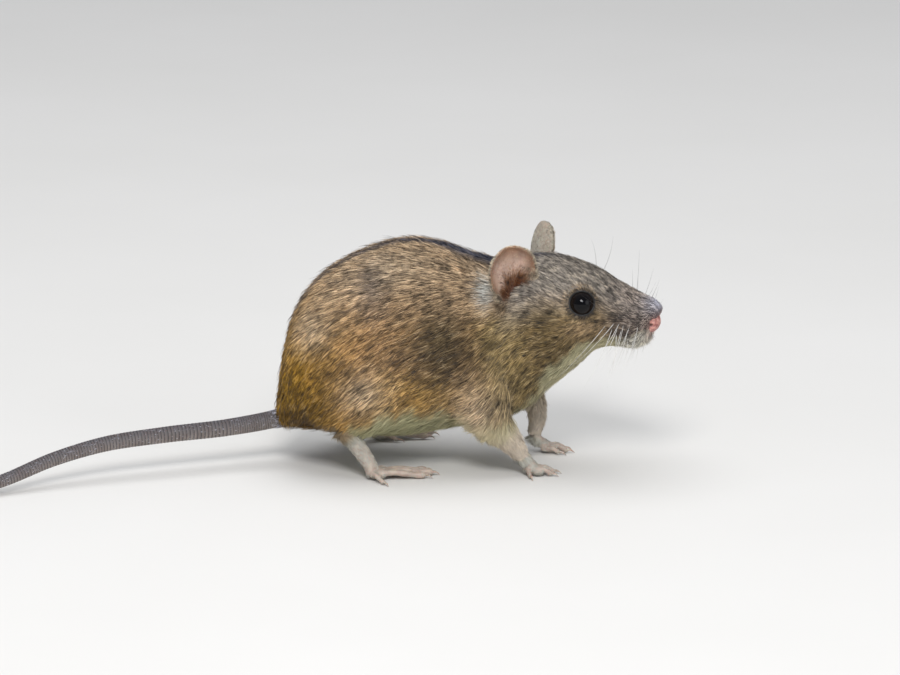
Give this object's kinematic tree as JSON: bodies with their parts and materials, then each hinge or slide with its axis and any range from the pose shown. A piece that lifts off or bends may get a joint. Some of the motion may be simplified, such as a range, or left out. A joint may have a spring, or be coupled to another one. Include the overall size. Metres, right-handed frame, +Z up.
{
  "type": "field mouse",
  "caption": "Life-size still model of a striped field mouse standing on all fours, back arched, head turned a little right, long tail laid behind.",
  "frame": {"origin": "middle of the box round the whole animal seen from above, on the floor under the soles", "axes": "+X towards the head end, +Y the animal's left, +Z up"},
  "size_m": [0.134, 0.0496, 0.0401],
  "materials": {
    "coat": "short dense agouti fur, grey-brown with an ochre rump, a dark stripe down the back and a greyish white belly",
    "ear_skin": "thin bare skin with a fine sheen and a fringe of short hairs",
    "eye": "wet-looking glossy black",
    "nose_skin": "moist pink skin, finely pebbled",
    "foot_skin": "bare pinkish grey skin under fine whitish hairs, with small horn claws",
    "tail_skin": "fine rings of scales with sparse short hairs, darker above"
  },
  "bodies": {
    "root": {"trunk": "coat", "neck": "coat", "head": "coat", "hindleg_left": "coat", "hindleg_right": "coat", "foreleg_left": "coat", "foreleg_right": "coat", "ear_left": "ear_skin", "ear_right": "ear_skin", "eye_left": "eye", "eye_right": "eye", "nose": "nose_skin", "forepaw_left": "foot_skin", "forepaw_right": "foot_skin", "hindfoot_left": "foot_skin", "hindfoot_right": "foot_skin", "tail_1": "tail_skin", "tail_2": "tail_skin", "tail_3": "tail_skin", "tail_4": "tail_skin"}
  },
  "joints": []
}
